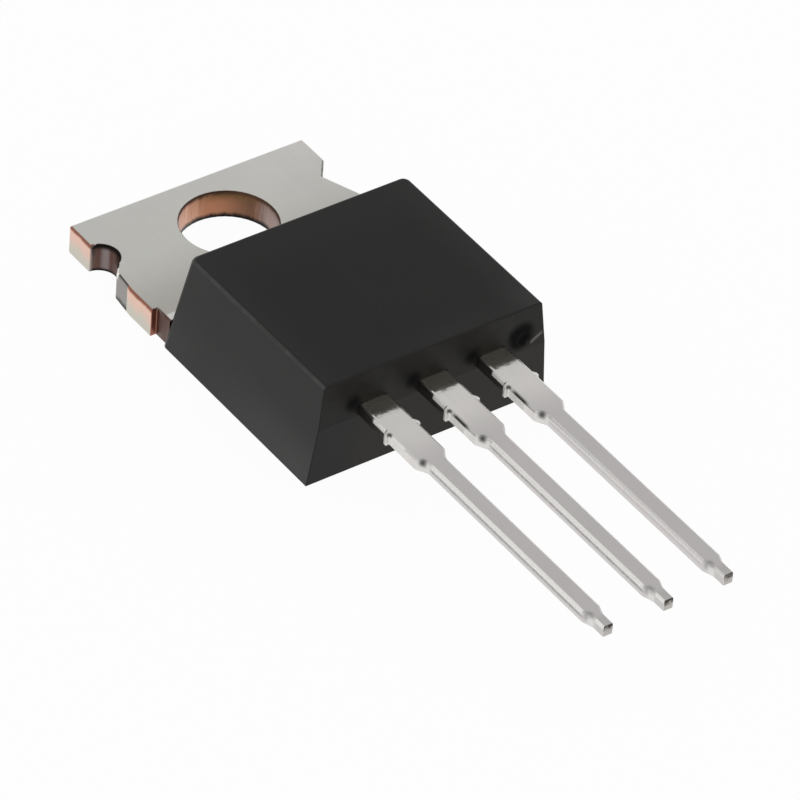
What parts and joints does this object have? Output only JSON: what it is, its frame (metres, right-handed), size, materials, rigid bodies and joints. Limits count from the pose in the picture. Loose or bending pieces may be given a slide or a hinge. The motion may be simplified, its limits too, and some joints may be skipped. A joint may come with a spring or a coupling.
{
  "type": "voltage regulator",
  "caption": "Through-hole linear voltage regulator: black moulded power package with a plated copper tab, a mounting hole and a row of straight leads.",
  "frame": {"origin": "axis of the mounting hole, on the back face of the tab", "axes": "+Z out of the package's top, along the mounting hole; +Y from the leads towards the tab's far end; +X to the right seen from above with the leads towards the viewer"},
  "size_m": [0.0104, 0.0292, 0.0043],
  "materials": {
    "plated_copper": "bright tin plating over copper, bare copper where it was sheared",
    "solder": "dull soft solder",
    "silicon": "polished silicon",
    "bond_wire": "bright drawn aluminium",
    "moulded_epoxy": "satin black moulded epoxy"
  },
  "bodies": {
    "root": {"tab_and_ground_lead": "plated_copper", "input_lead": "plated_copper", "output_lead": "plated_copper", "die_solder": "solder", "silicon_die": "silicon", "input_wire": "bond_wire", "output_wire": "bond_wire", "ground_wire": "bond_wire", "moulded_body": "moulded_epoxy"}
  },
  "joints": []
}
